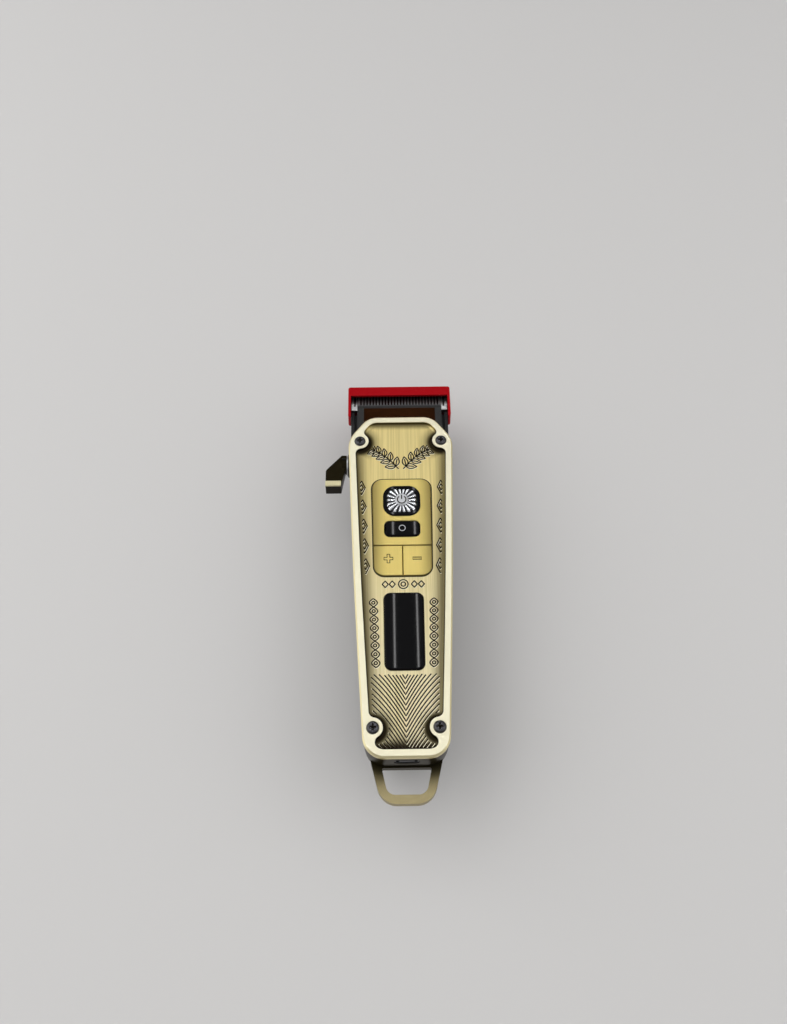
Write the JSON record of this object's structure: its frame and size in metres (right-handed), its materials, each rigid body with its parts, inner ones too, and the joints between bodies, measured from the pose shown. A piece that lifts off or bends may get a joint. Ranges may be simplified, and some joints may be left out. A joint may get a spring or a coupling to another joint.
{
  "type": "hair clipper",
  "caption": "Cordless hair clipper with a dished metal face plate, toothed blade set, taper lever, push keys, blade guard and a hanging loop.",
  "frame": {"origin": "centre of the flat rest face on the back of the housing", "axes": "+Y towards the blades, +Z out of the face plate, lever on the -X side"},
  "size_m": [0.0559, 0.1835, 0.0408],
  "materials": {
    "gold_metal": "antiqued satin gold",
    "dark_gold": "antiqued dark gold, satin",
    "pale_metal": "satin gold",
    "loop_metal": "satin tan gold",
    "black_steel": "blackened",
    "black_gloss": "gloss",
    "black_matt": "matt",
    "clear": "clear crystal",
    "steel": "ground",
    "dark_steel": "dark coated",
    "red": "semi-gloss",
    "green_board": "solder mask",
    "grey_plastic": "moulded",
    "white_plastic": "moulded",
    "cell_wrap": "shrink wrap"
  },
  "bodies": {
    "housing": {"main_housing": "dark_gold", "face_plate": "gold_metal", "face_screws": "black_steel", "key_panel": "pale_metal", "power_bezel": "black_gloss", "display_window": "black_gloss", "display_module": "grey_plastic", "main_board": "green_board", "push_switches": "black_matt", "board_screws": "steel", "charge_port": "steel", "charge_board": "green_board", "hang_loop": "loop_metal", "loop_screws": "steel", "battery_cell": "cell_wrap", "battery_cradle": "grey_plastic", "motor": "steel", "motor_bracket": "steel", "motor_screws": "steel", "blade_head": "black_matt", "fixed_blade": "steel", "blade_screws": "black_steel", "lever_bush": "steel"},
    "lever": {"taper_lever": "pale_metal", "lever_shaft": "steel", "lever_screw": "black_steel"},
    "slide": {"taper_slide": "grey_plastic", "blade_spring": "steel"},
    "cutter": {"cutter": "dark_steel", "cutter_follower": "white_plastic"},
    "rotor": {"motor_shaft": "steel", "eccentric": "grey_plastic"},
    "guard": {"blade_guard": "red"},
    "power_key": {"power_button": "clear"},
    "mode_key": {"mode_button": "black_gloss"},
    "plus": {"plus_key": "pale_metal"},
    "minus": {"minus_key": "pale_metal"}
  },
  "joints": [
    {"name": "lever_hinge", "type": "hinge", "parent": "housing", "child": "lever", "pos_m": [-0.0235, 0.0545, 0.0256], "axis": [1, 0, 0], "range_deg": [0, 40]},
    {"name": "taper_travel", "type": "slide", "parent": "housing", "child": "slide", "axis": [0, 1, 0], "range_m": [-0.0015, 0]},
    {"name": "cutter_stroke", "type": "slide", "parent": "slide", "child": "cutter", "axis": [1, 0, 0], "range_m": [-0.001, 0.001]},
    {"name": "motor_spin", "type": "hinge", "parent": "housing", "child": "rotor", "pos_m": [0, 0.0408, 0.0218], "axis": [0, 1, 0], "continuous": true},
    {"name": "guard_off", "type": "slide", "parent": "housing", "child": "guard", "axis": [0, 1, 0], "range_m": [0, 0.03]},
    {"name": "power_press", "type": "slide", "parent": "housing", "child": "power_key", "axis": [0, 0, -1], "range_m": [0, 0.0004], "stiffness_N_per_m": 1500, "springref_m": -0.0003},
    {"name": "mode_press", "type": "slide", "parent": "housing", "child": "mode_key", "axis": [0, 0, -1], "range_m": [0, 0.0004], "stiffness_N_per_m": 1500, "springref_m": -0.0003},
    {"name": "plus_press", "type": "slide", "parent": "housing", "child": "plus", "axis": [0, 0, -1], "range_m": [0, 0.0004], "stiffness_N_per_m": 1500, "springref_m": -0.0003},
    {"name": "minus_press", "type": "slide", "parent": "housing", "child": "minus", "axis": [0, 0, -1], "range_m": [0, 0.0004], "stiffness_N_per_m": 1500, "springref_m": -0.0003}
  ],
  "couplings": [
    {"joint": "lever_hinge", "follows": "taper_travel", "rad_per_m": -463.91}
  ]
}
